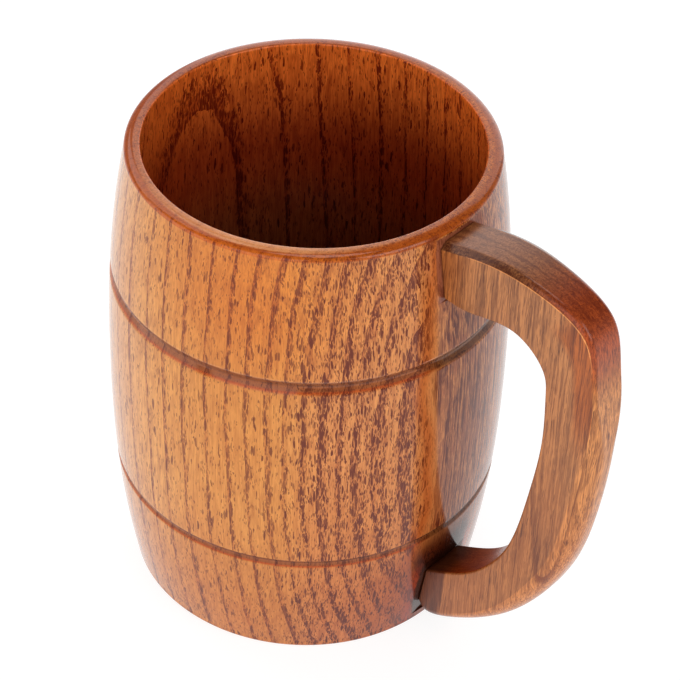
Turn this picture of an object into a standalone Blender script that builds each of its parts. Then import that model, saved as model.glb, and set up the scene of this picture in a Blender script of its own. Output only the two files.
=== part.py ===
"""Wooden mug: a turned barrel body with a pegged handle. Metres, +Z up, handle along +X."""
import math

import bmesh
import bpy
import numpy as np
from mathutils import Vector

# Barrel body, turned about Z
MUG_HEIGHT = 0.1200
RIM_RADIUS = 0.0422
BELLY_RADIUS = 0.0472
BARREL_POWER = 2.35
RIM_WALL = 0.0035
BELLY_WALL = 0.0062
FLOOR_THICKNESS = 0.0130
FLOOR_FILLET = 0.0090
RIM_ROUND = 0.0015
LIP_EASE = 0.0005
BASE_ROUND = 0.0015

# Turned grooves, the upper one measured down from the rim and the lower one up from the base
UPPER_GROOVE_DROP = 0.0333
UPPER_GROOVE_WIDTH = 0.0040
UPPER_GROOVE_DEPTH = 0.0008
LOWER_GROOVE_RISE = 0.0325
LOWER_GROOVE_WIDTH = 0.0026
LOWER_GROOVE_DEPTH = 0.0005
GROOVE_FLAT = 0.0004

# Handle
FINGER_GAP = 0.0252
GRIP_DEPTH = 0.0142
ARM_DROP = 0.0007
UPPER_ARM_HEIGHT = 0.0157
LOWER_ARM_HEIGHT = 0.0151
BASE_CLEARANCE = 0.0040
HEEL_ROUND = 0.0016
SEAT_WIDTH = 0.0130
GRIP_WIDTH = 0.0102
LOWER_WIDTH = 0.0120
CHAMFER_ACROSS = 0.0018
CHAMFER_DOWN = 0.0013
BEND_CHAMFER_ACROSS = 0.0010
BEND_CHAMFER_DOWN = 0.0008
GRIP_ROUND = 0.0044
LOWER_ROUND = 0.0028
FINGER_EASE = 0.0004

# Seats milled into the barrel for the two arms
UPPER_SEAT_HEIGHT = 0.0140
SEAT_DEPTH = 0.0008
SEAT_TOP_MARGIN = 0.0016
SEAT_SIDE = 0.0035
SEAT_END = 0.0005
SEAT_FOOT = 0.0010

# Pegs
DOWEL_RADIUS = 0.0030
DOWEL_CHAMFER = 0.0005
UPPER_DOWEL_IN_ARM = 0.0120
LOWER_DOWEL_IN_ARM = 0.0080
WALL_LEFT = 0.0010

FIT_GAP = 0.0003
CUTTER_OVERRUN = 0.0040

# Mesh fineness
AROUND = 80
STATIONS = 64
ROUND_STEPS = 6
PEG_SIDES = 24
OUTSIDE_STEP = 0.0054
HOLLOW_STEPS = 12

# The handle's sawing template, upper end to lower end. Each row is a point of the outer edge and
# the point of the inner edge across from it. A point is a share of the way out from the seat to
# the grip, then a share of the way up from the lower arm to the upper arm.
TEMPLATE = (
    ((0.281, 1.000), (0.278, 0.989)),
    ((0.590, 0.990), (0.654, 1.000)),
    ((0.870, 0.939), (0.934, 0.928)),
    ((0.947, 0.837), (0.986, 0.849)),
    ((1.000, 0.683), (1.000, 0.701)),
    ((0.963, 0.483), (0.934, 0.497)),
    ((0.848, 0.307), (0.797, 0.270)),
    ((0.570, 0.134), (0.584, 0.137)),
    ((0.231, 0.032), (0.343, 0.060)),
    ((0.014, 0.000), (0.084, 0.009)),
)

# Where the handle's section changes, as shares of its length
TAPER_TO_GRIP = (0.00, 0.30)
CHAMFER_NARROWS = (0.18, 0.34)
CHAMFER_TO_ROUND = (0.33, 0.48)
GRIP_TO_LOWER = (0.62, 0.94)
ROUND_TO_LOWER = (0.72, 0.97)


def barrel(z):
    """Outside radius of the barrel at height z, without the grooves."""
    offset = min(1.0, abs(2.0 * z / MUG_HEIGHT - 1.0))
    return BELLY_RADIUS - (BELLY_RADIUS - RIM_RADIUS) * offset ** BARREL_POWER


def hollow(z):
    """Radius of the hollow's wall at height z, above the floor fillet."""
    belly = BELLY_RADIUS - BELLY_WALL
    rim = RIM_RADIUS - RIM_WALL
    offset = min(1.0, abs(2.0 * z / MUG_HEIGHT - 1.0))
    return belly - (belly - rim) * offset ** BARREL_POWER


def hollow_with_floor(z):
    """Radius of the hollow at height z, with the fillet and the floor."""
    centre_z = FLOOR_THICKNESS + FLOOR_FILLET
    if z >= centre_z:
        return hollow(z)
    centre_r = hollow(centre_z) - FLOOR_FILLET
    drop = min(centre_z - z, FLOOR_FILLET)
    return centre_r + math.sqrt(FLOOR_FILLET ** 2 - drop ** 2)


def lean(z):
    """Slope of the barrel's side at height z."""
    step = 0.00001
    return (barrel(z + step) - barrel(z - step)) / (2.0 * step)


def ease(span, value):
    """Smooth step from 0 at the start of the span to 1 at its end."""
    share = min(1.0, max(0.0, (value - span[0]) / (span[1] - span[0])))
    return share * share * (3.0 - 2.0 * share)


def clear_scene():
    for item in list(bpy.data.objects):
        bpy.data.objects.remove(item, do_unlink=True)


def wood(name, colour, roughness):
    material = bpy.data.materials.new(name)
    material.use_nodes = True
    shader = material.node_tree.nodes["Principled BSDF"]
    shader.inputs["Base Color"].default_value = (*colour, 1.0)
    shader.inputs["Roughness"].default_value = roughness
    return material


def add_object(name, points, faces, material=None):
    mesh = bpy.data.meshes.new(name)
    mesh.from_pydata(points, [], faces)
    work = bmesh.new()
    work.from_mesh(mesh)
    bmesh.ops.recalc_face_normals(work, faces=work.faces)
    work.to_mesh(mesh)
    work.free()
    item = bpy.data.objects.new(name, mesh)
    bpy.context.scene.collection.objects.link(item)
    if material is not None:
        mesh.materials.append(material)
    return item


def cut(target, cutter):
    cutter.hide_render = True
    cutter.display_type = "WIRE"
    modifier = target.modifiers.new(cutter.name, "BOOLEAN")
    modifier.operation = "DIFFERENCE"
    modifier.solver = "EXACT"
    modifier.object = cutter


def turned(name, profile, material=None):
    """Solid of revolution about Z from (radius, height) rows that start and end on the axis."""
    points = []
    rings = []
    for radius, height in profile:
        if radius < 1e-9:
            rings.append([len(points)])
            points.append((0.0, 0.0, height))
            continue
        first = len(points)
        for step in range(AROUND):
            angle = 2.0 * math.pi * step / AROUND
            points.append((radius * math.cos(angle), radius * math.sin(angle), height))
        rings.append(list(range(first, first + AROUND)))
    faces = []
    for low, high in zip(rings, rings[1:]):
        for step in range(AROUND):
            follow = (step + 1) % AROUND
            if len(low) == 1:
                faces.append((low[0], high[follow], high[step]))
            elif len(high) == 1:
                faces.append((low[step], low[follow], high[0]))
            else:
                faces.append((low[step], low[follow], high[follow], high[step]))
    return add_object(name, points, faces, material)


def outside_rows():
    """Rows of (radius, height) up the barrel's side, with the two grooves cut into it."""
    marks = []
    for centre, width, depth in (
        (LOWER_GROOVE_RISE, LOWER_GROOVE_WIDTH, LOWER_GROOVE_DEPTH),
        (MUG_HEIGHT - UPPER_GROOVE_DROP, UPPER_GROOVE_WIDTH, UPPER_GROOVE_DEPTH),
    ):
        marks.append((centre - width / 2.0, 0.0))
        marks.append((centre - GROOVE_FLAT / 2.0, depth))
        marks.append((centre + GROOVE_FLAT / 2.0, depth))
        marks.append((centre + width / 2.0, 0.0))
    stops = [(BASE_ROUND, 0.0)] + marks + [(MUG_HEIGHT - RIM_ROUND, 0.0)]
    rows = []
    for (low, low_cut), (high, high_cut) in zip(stops, stops[1:]):
        in_groove = low_cut > 0.0 or high_cut > 0.0
        pieces = 1 if in_groove else max(1, round((high - low) / OUTSIDE_STEP))
        for piece in range(1, pieces + 1):
            height = low + (high - low) * piece / pieces
            rows.append((barrel(height) - (high_cut if in_groove else 0.0), height))
    return rows


def body_profile():
    """Rows of (radius, height): underside, outside with its grooves, rim, hollow and floor."""
    rows = [(0.0, 0.0)]
    base_r = barrel(BASE_ROUND) - BASE_ROUND
    for step in range(4):
        angle = math.radians(30.0 * step)
        rows.append((base_r + BASE_ROUND * math.sin(angle), BASE_ROUND * (1.0 - math.cos(angle))))
    rows += outside_rows()
    shoulder_r = barrel(MUG_HEIGHT - RIM_ROUND) - RIM_ROUND
    shoulder_z = MUG_HEIGHT - RIM_ROUND
    for step in range(1, 5):
        angle = math.radians(22.5 * step)
        rows.append((shoulder_r + RIM_ROUND * math.cos(angle), shoulder_z + RIM_ROUND * math.sin(angle)))
    lip_z = MUG_HEIGHT - LIP_EASE
    lip_r = hollow(lip_z) + LIP_EASE
    for step in range(3):
        angle = math.radians(45.0 * step)
        rows.append((lip_r - LIP_EASE * math.sin(angle), lip_z + LIP_EASE * math.cos(angle)))
    fillet_z = FLOOR_THICKNESS + FLOOR_FILLET
    for piece in range(1, HOLLOW_STEPS + 1):
        height = lip_z + (fillet_z - lip_z) * piece / HOLLOW_STEPS
        rows.append((hollow(height), height))
    fillet_r = hollow(fillet_z) - FLOOR_FILLET
    for step in range(1, 6):
        angle = math.radians(18.0 * step)
        rows.append((fillet_r + FLOOR_FILLET * math.cos(angle), fillet_z - FLOOR_FILLET * math.sin(angle)))
    rows.append((0.0, FLOOR_THICKNESS))
    return rows


class Seat:
    """Flat on the barrel that one arm stands against, in the XZ plane."""

    def __init__(self, low, high):
        self.low = low
        self.high = high
        self.mid = 0.5 * (low + high)
        self.slope = lean(self.mid)
        self.foot = barrel(self.mid) - SEAT_DEPTH
        self.out = Vector((1.0, 0.0, -self.slope)).normalized()

    def at(self, z):
        return self.foot + self.slope * (z - self.mid)

    def centre(self):
        return Vector((self.foot, 0.0, self.mid))


def seats():
    """Upper and lower seat, from the heights of the arms' ends."""
    upper_high = MUG_HEIGHT - RIM_ROUND - SEAT_TOP_MARGIN
    upper = Seat(upper_high - UPPER_SEAT_HEIGHT, upper_high)
    lower = Seat(BASE_CLEARANCE + HEEL_ROUND, BASE_CLEARANCE + LOWER_ARM_HEIGHT)
    return upper, lower


def seat_cutter(name, seat, low, high):
    """Wedge that mills one seat from low to high, with a floor that leans like the barrel's side."""
    reach = BELLY_RADIUS + CUTTER_OVERRUN
    half = SEAT_WIDTH / 2.0 + SEAT_SIDE
    corners = ((seat.at(low), low), (reach, low), (reach, high), (seat.at(high), high))
    points = [(x, -half, z) for x, z in corners] + [(x, half, z) for x, z in corners]
    faces = [(0, 1, 2, 3), (7, 6, 5, 4), (0, 4, 5, 1), (1, 5, 6, 2), (2, 6, 7, 3), (3, 7, 4, 0)]
    return add_object(name, points, faces)


def rod(name, start, end, radius, chamfer, material=None):
    """Round rod from start to end, with chamfered ends where chamfer is more than 0."""
    along = (end - start).normalized()
    side = Vector((0.0, 1.0, 0.0))
    other = along.cross(side)
    length = (end - start).length
    rows = [(0.0, radius), (length, radius)]
    if chamfer > 0.0:
        rows = [(chamfer, radius), (length - chamfer, radius)]
        rows = [(0.0, radius - chamfer)] + rows + [(length, radius - chamfer)]
    points = []
    for reach, size in rows:
        for step in range(PEG_SIDES):
            angle = 2.0 * math.pi * step / PEG_SIDES
            spoke = side * math.cos(angle) + other * math.sin(angle)
            points.append(tuple(start + along * reach + spoke * size))
    return add_object(name, points, skin(len(rows), PEG_SIDES), material)


def skin(rings, size):
    """Faces that join rings of points into one closed body, with a cap at each end."""
    faces = [tuple(range(size)), tuple(range((rings - 1) * size, rings * size))]
    for ring in range(rings - 1):
        low = ring * size
        high = low + size
        for step in range(size):
            follow = (step + 1) % size
            faces.append((low + step, low + follow, high + follow, high + step))
    return faces


def smooth(rows, knots, count):
    """Natural cubic curve through the rows at their knots, sampled at count even steps."""
    step = np.diff(knots)
    slope = np.diff(rows, axis=0) / step[:, None]
    matrix = np.eye(len(knots))
    right = np.zeros_like(rows)
    for i in range(1, len(knots) - 1):
        matrix[i, i - 1:i + 2] = (step[i - 1], 2.0 * (step[i - 1] + step[i]), step[i])
        right[i] = 6.0 * (slope[i] - slope[i - 1])
    bend = np.linalg.solve(matrix, right)
    samples = []
    for place in np.linspace(knots[0], knots[-1], count):
        i = min(int(np.searchsorted(knots, place, side="right")) - 1, len(step) - 1)
        t = (place - knots[i]) / step[i]
        s = 1.0 - t
        pull = (s ** 3 - s) * bend[i] + (t ** 3 - t) * bend[i + 1]
        samples.append(s * rows[i] + t * rows[i + 1] + pull * step[i] ** 2 / 6.0)
    return np.array(samples)


def template_rows(side, reach, low, high, upper_end, lower_end):
    """One edge of the template in metres, closed at both ends on the seats."""
    upper, lower = seats()
    rows = [(upper.at(upper_end) + FIT_GAP, upper_end)]
    for place, row in enumerate(TEMPLATE):
        start = (upper if 2 * place < len(TEMPLATE) else lower).foot + FIT_GAP
        across, up = row[side]
        rows.append((start + across * (reach - start), low + up * (high - low)))
    rows.append((lower.at(lower_end) + FIT_GAP, lower_end))
    return np.array(rows)


def handle_rails(upper, lower):
    """Outer and inner edge of the handle in the XZ plane, from the upper seat to the lower seat."""
    top = MUG_HEIGHT - ARM_DROP
    inner_reach = BELLY_RADIUS + FINGER_GAP
    outer_reach = inner_reach + GRIP_DEPTH
    inner_low = BASE_CLEARANCE + LOWER_ARM_HEIGHT
    inner_high = top - UPPER_ARM_HEIGHT
    outer = template_rows(0, outer_reach, BASE_CLEARANCE, top, upper.high, lower.low)
    inner = template_rows(1, inner_reach, inner_low, inner_high, upper.low, lower.high)
    chords = np.linalg.norm(np.diff(0.5 * (outer + inner), axis=0), axis=1)
    knots = np.concatenate(([0.0], np.cumsum(np.sqrt(chords))))
    return smooth(outer, knots, STATIONS), smooth(inner, knots, STATIONS)


def handle_section(share, depth):
    """Half of one cross-section as (depth, half-width) rows, from the finger side to the outside."""
    width = SEAT_WIDTH + (GRIP_WIDTH - SEAT_WIDTH) * ease(TAPER_TO_GRIP, share)
    width += (LOWER_WIDTH - GRIP_WIDTH) * ease(GRIP_TO_LOWER, share)
    half = width / 2.0
    rounding = ease(CHAMFER_TO_ROUND, share)
    narrow = ease(CHAMFER_NARROWS, share)
    chamfer_across = CHAMFER_ACROSS + (BEND_CHAMFER_ACROSS - CHAMFER_ACROSS) * narrow
    chamfer_down = CHAMFER_DOWN + (BEND_CHAMFER_DOWN - CHAMFER_DOWN) * narrow
    radius = GRIP_ROUND + (LOWER_ROUND - GRIP_ROUND) * ease(ROUND_TO_LOWER, share)
    across = min(chamfer_across + (radius - chamfer_across) * rounding, 0.9 * half)
    down = min(chamfer_down + (radius - chamfer_down) * rounding, 0.4 * depth)
    rows = [(0.0, half - FINGER_EASE), (FINGER_EASE, half)]
    for step in range(ROUND_STEPS + 1):
        turn = step / ROUND_STEPS
        angle = turn * math.pi / 2.0
        flat = (depth - down * (1.0 - turn), half - across * turn)
        arc = (depth - down * (1.0 - math.sin(angle)), half - across * (1.0 - math.cos(angle)))
        rows.append((flat[0] + (arc[0] - flat[0]) * rounding, flat[1] + (arc[1] - flat[1]) * rounding))
    return rows


def build_handle(upper, lower, material):
    """Loft between the two edges: chamfered upper arm, rounded grip, eased lower arm."""
    outer, inner = handle_rails(upper, lower)
    steps = np.linalg.norm(np.diff(0.5 * (outer + inner), axis=0), axis=1)
    lengths = np.concatenate(([0.0], np.cumsum(steps)))
    points = []
    for station in range(STATIONS):
        span = outer[station] - inner[station]
        depth = float(np.linalg.norm(span))
        toward = span / depth
        rows = handle_section(lengths[station] / lengths[-1], depth)
        loop = [(deep, -half) for deep, half in rows] + [(deep, half) for deep, half in reversed(rows)]
        for deep, side in loop:
            x, z = inner[station] + toward * deep
            points.append((float(x), side, float(z)))
    return add_object("handle", points, skin(STATIONS, len(points) // STATIONS), material)


def peg_depth(seat):
    """How far a peg goes into the wall, leaving WALL_LEFT behind its hole."""
    hole = DOWEL_RADIUS + FIT_GAP
    heights = (seat.mid - hole, seat.mid, seat.mid + hole)
    return min(seat.at(z) - hollow_with_floor(z) for z in heights) - WALL_LEFT - FIT_GAP


def add_peg(side, seat, in_arm, body, handle, material):
    """One peg square to its seat, with a blind hole in the wall and one in the arm."""
    centre = seat.centre()
    in_wall = peg_depth(seat)
    bore = DOWEL_RADIUS + FIT_GAP
    start = centre - seat.out * in_wall
    end = centre + seat.out * in_arm
    rod("dowel_" + side, start, end, DOWEL_RADIUS, DOWEL_CHAMFER, material)
    overrun = seat.out * CUTTER_OVERRUN
    cut(body, rod(side + "_wall_hole", start - seat.out * FIT_GAP, centre + overrun, bore, 0.0))
    cut(handle, rod(side + "_arm_hole", centre - overrun, end + seat.out * FIT_GAP, bore, 0.0))


def main():
    clear_scene()
    body_wood = wood("body_wood", (0.47, 0.19, 0.06), 0.35)
    handle_wood = wood("handle_wood", (0.42, 0.19, 0.08), 0.38)
    peg_wood = wood("peg_wood", (0.62, 0.43, 0.24), 0.6)
    upper, lower = seats()
    body = turned("mug_body", body_profile(), body_wood)
    upper_top = MUG_HEIGHT - RIM_ROUND - FIT_GAP
    cut(body, seat_cutter("upper_seat_cutter", upper, upper.low - SEAT_END, upper_top))
    cut(body, seat_cutter("lower_seat_cutter", lower, BASE_CLEARANCE - SEAT_FOOT, lower.high + SEAT_END))
    handle = build_handle(upper, lower, handle_wood)
    add_peg("upper", upper, UPPER_DOWEL_IN_ARM, body, handle, peg_wood)
    add_peg("lower", lower, LOWER_DOWEL_IN_ARM, body, handle, peg_wood)


main()
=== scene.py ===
"""Looks of the wooden mug: finer copies of the two shown solids in lacquered ring-porous wood."""
import math

import bpy
import numpy as np
from mathutils import Matrix, Vector


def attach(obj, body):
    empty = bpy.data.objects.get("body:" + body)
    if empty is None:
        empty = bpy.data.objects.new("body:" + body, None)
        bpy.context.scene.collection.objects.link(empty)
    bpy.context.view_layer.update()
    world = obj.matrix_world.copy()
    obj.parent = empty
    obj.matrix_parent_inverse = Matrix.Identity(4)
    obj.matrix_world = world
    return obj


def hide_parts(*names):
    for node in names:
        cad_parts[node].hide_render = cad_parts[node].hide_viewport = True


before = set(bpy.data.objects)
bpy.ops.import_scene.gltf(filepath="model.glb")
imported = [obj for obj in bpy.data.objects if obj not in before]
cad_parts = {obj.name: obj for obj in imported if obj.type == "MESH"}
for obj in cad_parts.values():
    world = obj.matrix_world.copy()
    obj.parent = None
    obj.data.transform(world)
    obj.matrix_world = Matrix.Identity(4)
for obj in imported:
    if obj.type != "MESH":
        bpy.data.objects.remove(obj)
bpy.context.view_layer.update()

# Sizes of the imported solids, in metres. A groove has its height, its width and its depth.
MUG_HEIGHT = 0.1200
RIM_RADIUS = 0.0422
BELLY_RADIUS = 0.0472
BARREL_POWER = 2.35
RIM_WALL = 0.0035
BELLY_WALL = 0.0062
FLOOR_THICKNESS = 0.0130
FLOOR_FILLET = 0.0090
RIM_ROUND = 0.0015
BASE_ROUND = 0.0015
GROOVES = ((0.0325, 0.0026, 0.0005), (0.0867, 0.0040, 0.0008))
GROOVE_FLAT = 0.0004
FINGER_GAP = 0.0252
GRIP_DEPTH = 0.0142
ARM_DROP = 0.0007
UPPER_ARM_HEIGHT = 0.0157
LOWER_ARM_HEIGHT = 0.0151
BASE_CLEARANCE = 0.0040
HEEL_ROUND = 0.0016
SEAT_WIDTH = 0.0130
GRIP_WIDTH = 0.0102
LOWER_WIDTH = 0.0120
CHAMFER = (0.0018, 0.0013)
BEND_CHAMFER = (0.0010, 0.0008)
GRIP_ROUND = 0.0044
LOWER_ROUND = 0.0028
FINGER_EASE = 0.0004
UPPER_SEAT_HEIGHT = 0.0140
SEAT_DEPTH = 0.0008
SEAT_TOP_MARGIN = 0.0016
SEAT_END = 0.0005
SEAT_FOOT = 0.0010
FIT_GAP = 0.0003

# Points of the handle's outer and inner edge, as shares of its reach and of its height
TEMPLATE = (
    ((0.281, 1.000), (0.278, 0.989)),
    ((0.590, 0.990), (0.654, 1.000)),
    ((0.870, 0.939), (0.934, 0.928)),
    ((0.947, 0.837), (0.986, 0.849)),
    ((1.000, 0.683), (1.000, 0.701)),
    ((0.963, 0.483), (0.934, 0.497)),
    ((0.848, 0.307), (0.797, 0.270)),
    ((0.570, 0.134), (0.584, 0.137)),
    ((0.231, 0.032), (0.343, 0.060)),
    ((0.014, 0.000), (0.084, 0.009)),
)

# Where the handle's section changes, as shares of its length from the upper arm
TAPER_RUN = (0.00, 0.30)
SPREAD_RUN = (0.62, 0.94)
ROUNDING_RUN = (0.33, 0.48)
WORN_RUN = (0.06, 0.16)
NARROW_RUN = (0.18, 0.34)
LOWER_ROUND_RUN = (0.72, 0.97)

# Fineness, wear and the rim's crown of the shown meshes, with angles in degrees and lengths in metres
SHARP_EDGE = 24.0
SIDE_ROWS = 112
GROOVE_ROWS = 34
GROOVE_MARGIN = 0.0004
GROOVE_WEAR = 0.10
CUT_STEP = 0.00002
DISC_RINGS = 12
FIRST_RING = 0.12
BASE_STEPS = 12
RIM_STEPS = 18
CROWN = 0.0028
CROWN_POWER = 2.2
LIP_ROUND = 0.0007
LIP_POWER = 3.2
HOLLOW_ROWS = 70
FILLET_STEPS = 16
SEAT_ARC = 15.0
SEAT_COLUMN = 0.5
FAR_COLUMNS = 220
STATIONS = 220
ROUND_STEPS = 8
SIDE_SHARES = (0.30, 0.55, 0.70, 0.85)
CHAMFER_WEAR = 0.8
BROKEN_CORNER = 0.00022
CORNER_STEPS = 3
CORNER_LIMIT = 0.4
LEAST_RUN = 1e-9
SLOPE_STEP = 1e-5


def barrel(z):
    """Radius of the barrel's outside at height z, without the grooves."""
    offset = min(1.0, abs(2.0 * z / MUG_HEIGHT - 1.0))
    return BELLY_RADIUS - (BELLY_RADIUS - RIM_RADIUS) * offset ** BARREL_POWER


def hollow(z):
    """Radius of the hollow at height z."""
    offset = min(1.0, abs(2.0 * z / MUG_HEIGHT - 1.0))
    belly = BELLY_RADIUS - BELLY_WALL
    return belly - (belly - RIM_RADIUS + RIM_WALL) * offset ** BARREL_POWER


def lean(z):
    """Slope of the barrel's outside at height z."""
    return (barrel(z + SLOPE_STEP) - barrel(z - SLOPE_STEP)) / (2.0 * SLOPE_STEP)


def groove(z):
    """Depth of the turned grooves at height z, with slightly worn edges."""
    depth = 0.0
    for centre, width, deep in GROOVES:
        run = width / 2.0 - GROOVE_FLAT / 2.0
        share = (width / 2.0 - abs(z - centre)) / run
        if share <= -GROOVE_WEAR:
            continue
        if share < GROOVE_WEAR:
            share = (share + GROOVE_WEAR) ** 2 / (4.0 * GROOVE_WEAR)
        depth = max(depth, deep * min(1.0, share))
    return depth


def ease(low, high, value):
    """Share that goes smoothly from 0 at low to 1 at high."""
    share = min(1.0, max(0.0, (value - low) / (high - low)))
    return share * share * (3.0 - 2.0 * share)


def window(value, start, full, fade, end):
    """Share that rises from start to full and falls again from fade to end."""
    return ease(start, full, value) * ease(end, fade, value)


def hump(value, centre, width):
    """Bell curve that is 1 at its centre."""
    return math.exp(-((value - centre) / width) ** 2)


def blend(first, second, share):
    return tuple(a + (b - a) * share for a, b in zip(first, second))


class Seat:
    """Flat on the barrel that one arm stands against."""

    def __init__(self, low, high, cut_low, cut_high):
        self.low, self.high = low, high
        self.cut_low, self.cut_high = cut_low, cut_high
        self.mid = 0.5 * (low + high)
        self.slope = lean(self.mid)
        self.foot = barrel(self.mid) - SEAT_DEPTH

    def at(self, z):
        return self.foot + self.slope * (z - self.mid)


upper_high = MUG_HEIGHT - RIM_ROUND - SEAT_TOP_MARGIN
upper_low = upper_high - UPPER_SEAT_HEIGHT
lower_low = BASE_CLEARANCE + HEEL_ROUND
lower_high = BASE_CLEARANCE + LOWER_ARM_HEIGHT
UPPER = Seat(upper_low, upper_high, upper_low - SEAT_END, MUG_HEIGHT - RIM_ROUND - FIT_GAP)
LOWER = Seat(lower_low, lower_high, BASE_CLEARANCE - SEAT_FOOT, lower_high + SEAT_END)


def mesh_object(name, points, faces, material, tints):
    mesh = bpy.data.meshes.new(name)
    mesh.from_pydata([tuple(map(float, point)) for point in points], [], faces)
    mesh.validate()
    mesh.polygons.foreach_set("use_smooth", [True] * len(mesh.polygons))
    mesh.set_sharp_from_angle(angle=math.radians(SHARP_EDGE))
    mesh.materials.append(material)
    layer = mesh.color_attributes.new("tint", "FLOAT_COLOR", "POINT")
    layer.data.foreach_set("color", [float(value) for tint in tints for value in tint])
    item = bpy.data.objects.new(name, mesh)
    bpy.context.scene.collection.objects.link(item)
    return item


# Tints of the body, its own tone with painted shade, painted light and painted reflection: factors on red,
# green and blue, and how strongly the figure of the wood shows.
# A strength below zero stands for plain lines. Right is the part of the body round the handle.
# The rim's tints are painted reflection and shade: a pale crest at the front, a darker crest and slope
# elsewhere.
RIM_CREST = (0.72, 0.37, 0.17, 1.4)
RIM_CREST_RIGHT = (0.94, 0.60, 0.27, 1.9)
RIM_CREST_FRONT = (1.10, 1.08, 1.70, 0.4)
RIM_SLOPE = (0.58, 0.24, 0.06, 0.6)
RIM_SLOPE_RIGHT = (0.628, 0.306, 0.096, 0.84)
RIM_SLOPE_FRONT = (0.91, 0.52, 0.22, 1.2)
RIM_LINE = (0.66, 0.30, 0.16, 0.6)
# Painted light at the top of the hollow and painted shade deeper down.
HOLLOW_TOP = (1.20, 0.63, 0.37, 1.3)
HOLLOW_MIDDLE = (0.49, 0.155, 0.12, 1.3)
HOLLOW_LOW = (0.40, 0.27, 0.31, 1.2)
# Painted shade on the milled flats: a purple-grey shadowed strip with a painted reflection beside the
# upper arm, near black in the gap round the lower arm.
UPPER_FLAT = (0.50, 0.35, 0.66, 0.4)
LOWER_FLAT = (0.07, 0.035, 0.035, 0.4)
SIDE_FRONT = (1.0, 1.0, 1.0, 1.0)
# A cooler lilac cast towards the handle, a painted reflection.
SIDE_MIDDLE = (0.96, 0.88, 1.08, 1.2)
# Painted reflection of the handle: a darker, more saturated band just in front of it.
SIDE_BAND = (0.72, 0.42, 0.32, 0.9)
# Painted shade and a painted grey reflection round the handle, where the figure shows as plain lines.
SIDE_RIGHT = (0.84, 0.74, 0.92, -1.8)
# Painted pale reflection on the left side.
SIDE_LEFT = (0.97, 1.05, 1.45, 0.9)
SIDE_TOP = (0.96, 0.72, 0.44, 1.0)
# Painted shade towards the foot.
SIDE_FOOT = (0.79, 0.62, 0.53, 1.0)
# Painted shade in the grooves, darkest on the upper facet and round the handle.
GROOVE_UPPER = (0.36, 0.25, 0.28, 0.8)
GROOVE_LOWER = (0.50, 0.34, 0.36, 0.8)
GROOVE_EDGE = (0.78, 0.30, 0.11, 0.8)
GROOVE_RIGHT = (0.26, 0.20, 0.20, 0.8)
# Painted shade round the lower arm, a painted contact shadow, near black at the joint.
CORNER_WIDE = (0.56, 0.29, 0.15, 1.0)
CORNER_WIDE_RIGHT = (0.34, 0.27, 0.28, -0.9)
CORNER_BESIDE = (0.46, 0.13, 0.04, 0.8)
CORNER_ABOVE = (0.15, 0.06, 0.05, 0.8)
CORNER_DARK = (0.05, 0.022, 0.02, 0.8)
CORNER_FOOT = (0.36, 0.14, 0.09, 0.8)

# Where these tints lie: angles in degrees round the body from the handle, lengths in metres, the rest
# shares. Two values are a middle and a width for hump or two limits for ease, four the limits of window.
# A wave has its reach in degrees and its pace in radians per metre.
RIM_FRONT_ARC = (-70.0, 45.0)
RIM_RIGHT_ARC = (-25.0, 10.0, 70.0, 110.0)
CREST_EDGE = 0.0003
CREST_WIDER = 0.0009
CREST_FADE = 0.0006
LINE_WIDTH = 0.0003
LINE_STRENGTH = 0.8
FLOOR_MARGIN = 0.0001
WALL_MARGIN = 0.0003
HOLLOW_MIDDLE_DEPTH = 0.030
HOLLOW_LOW_DEPTH = 0.065
MIDDLE_ARC = (-58.0, -42.0, 10.0, 30.0)
BAND_ARC = (-13.5, 3.0)
RIGHT_START = (-15.0, -6.5)
RIGHT_END = (100.0, 42.0)
LEFT_ARC = (-92.0, -122.0)
TOP_ARC = (-62.0, 30.0)
TOP_HEIGHTS = (0.078, 0.106)
FOOT_HEIGHTS = (0.004, 0.052)
BORDER_WAVES = ((1.9, 95.0), (0.7, 260.0))
GROOVE_EDGE_RUN = (0.40, 0.75)
GROOVE_FADE = 0.4
CORNER_ARC = 57.0

# Painted shade round the lower arm, a painted contact shadow: where it ends, where it is full, and how
# fast it fades sideways and upwards
WIDE_REACH = (0.022, 0.006, 1.0, 1.3)
MIDDLE_REACH = (0.014, 0.005, 2.0, 0.85)
DARK_REACH = (0.008, 0.002, 3.0, 1.0)
WIDE_SIDE = (0.012, -0.004)
ABOVE_RUN = (0.0, 0.005)
CORNER_FOOT_HEIGHTS = (0.0065, 0.0045)


def rim_tint(radius, degrees):
    """Painted reflection and shade on the rim: the crest painted pale as a reflection, most of all at the
    front, and darker elsewhere, the slope painted darker, least at the front, with a darker line outside
    the crest at the front.
    """
    front = hump(degrees, *RIM_FRONT_ARC)
    right = window(degrees, *RIM_RIGHT_ARC)
    crest = blend(blend(RIM_CREST, RIM_CREST_RIGHT, right), RIM_CREST_FRONT, front)
    slope = blend(blend(RIM_SLOPE, RIM_SLOPE_RIGHT, right), RIM_SLOPE_FRONT, front)
    border = barrel(MUG_HEIGHT - RIM_ROUND) - CROWN + CREST_EDGE + CREST_WIDER * front
    outside = border + CREST_FADE
    tint = blend(crest, slope, ease(border, outside, radius))
    return blend(tint, RIM_LINE, LINE_STRENGTH * front * hump(radius, outside, LINE_WIDTH))


def corner_share(beside, above, end, full, sideways, upwards):
    """Share of the painted shade round the lower arm, fading at different rates beside the arm and above
    it.
    """
    return ease(end, full, math.hypot(sideways * beside, upwards * above))


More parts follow.
